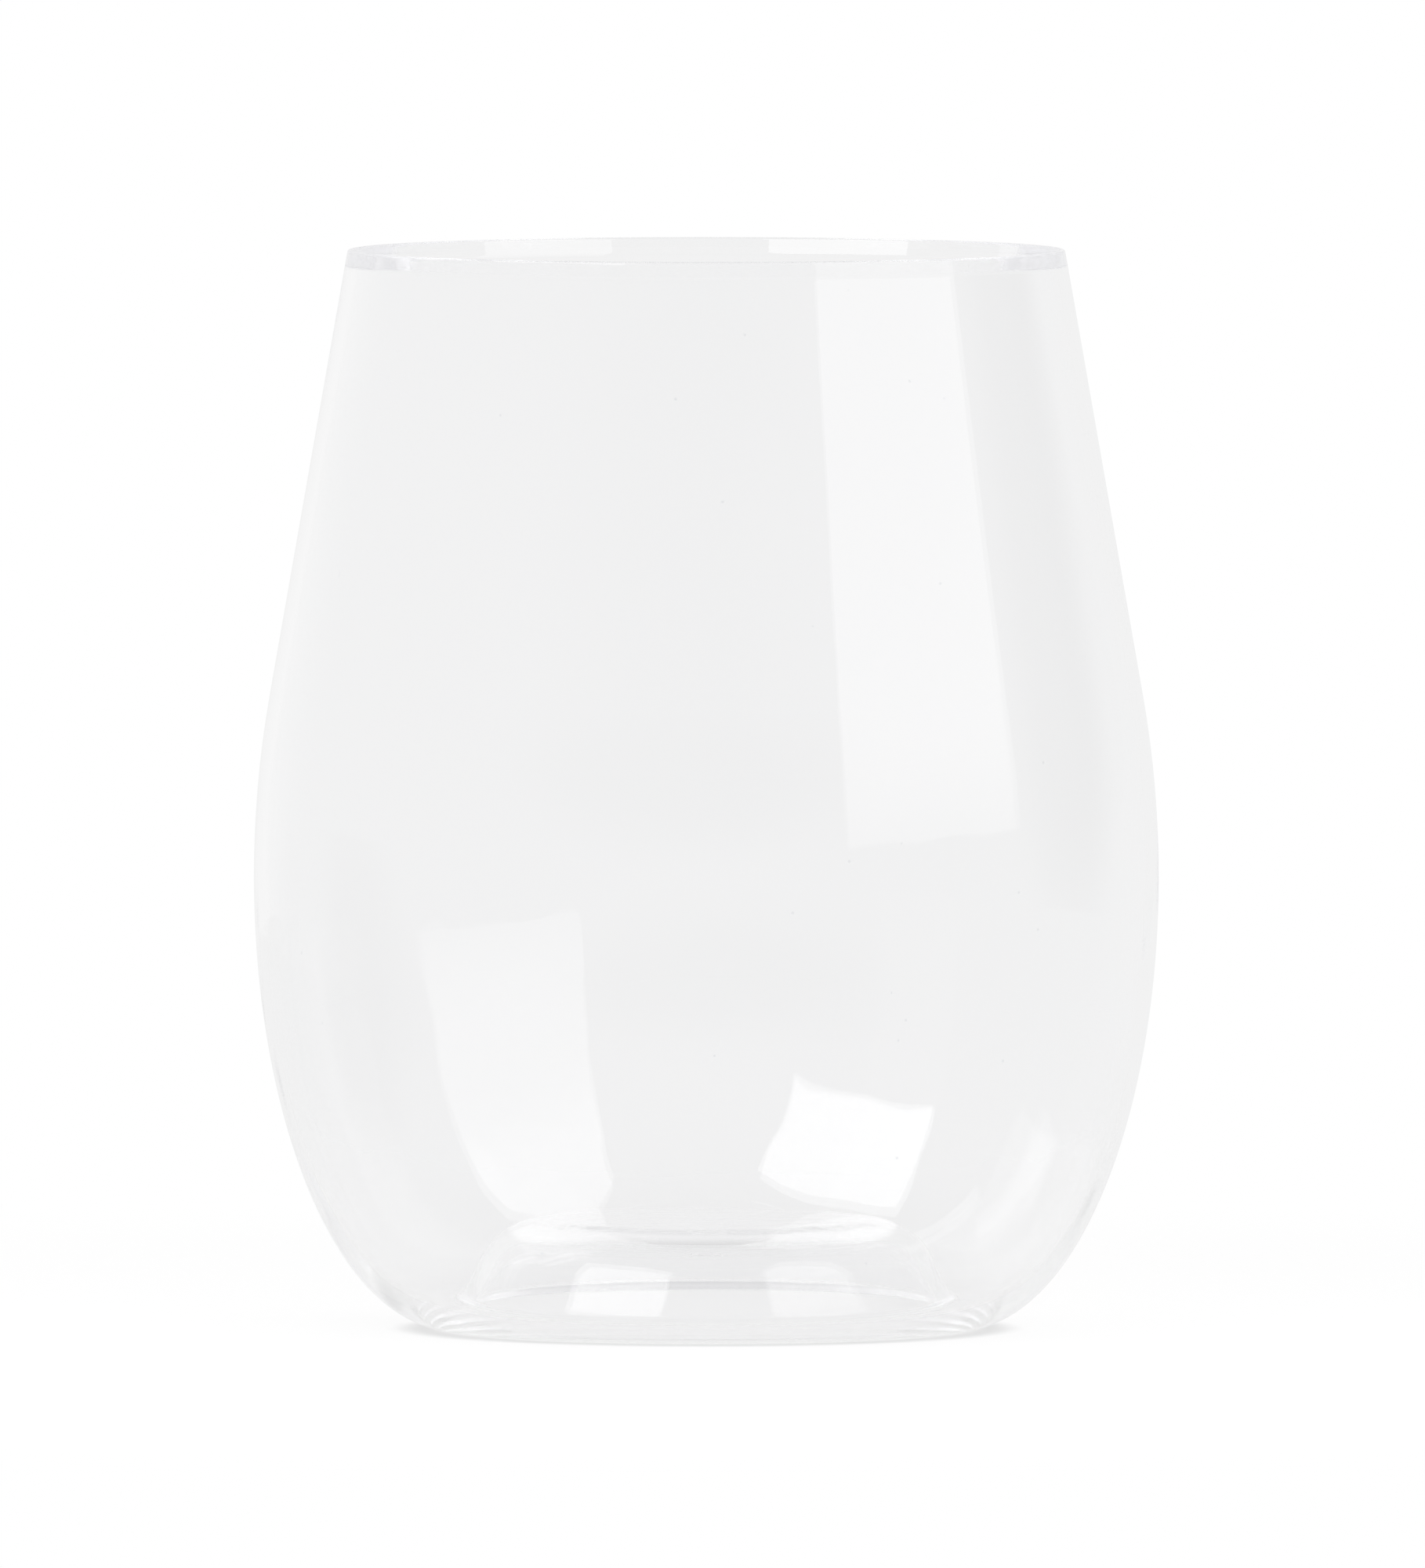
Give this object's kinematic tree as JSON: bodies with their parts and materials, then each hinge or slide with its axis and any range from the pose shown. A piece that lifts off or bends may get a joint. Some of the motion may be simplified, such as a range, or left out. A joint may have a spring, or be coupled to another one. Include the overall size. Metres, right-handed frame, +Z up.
{
  "type": "stemless wine glass",
  "caption": "Clear stemless wine tumbler, a round belly drawn in to a straight tapered mouth, standing on a narrow ring round a domed punt.",
  "frame": {"origin": "centre of the standing ring, on the surface that the tumbler stands on", "axes": "+Z up along the axis of the tumbler, X and Y alike because it is round"},
  "size_m": [0.088, 0.088, 0.105],
  "materials": {
    "clear_plastic": "clear, polished moulding with faint handling marks"
  },
  "bodies": {
    "root": {"tumbler": "clear_plastic"}
  },
  "joints": []
}
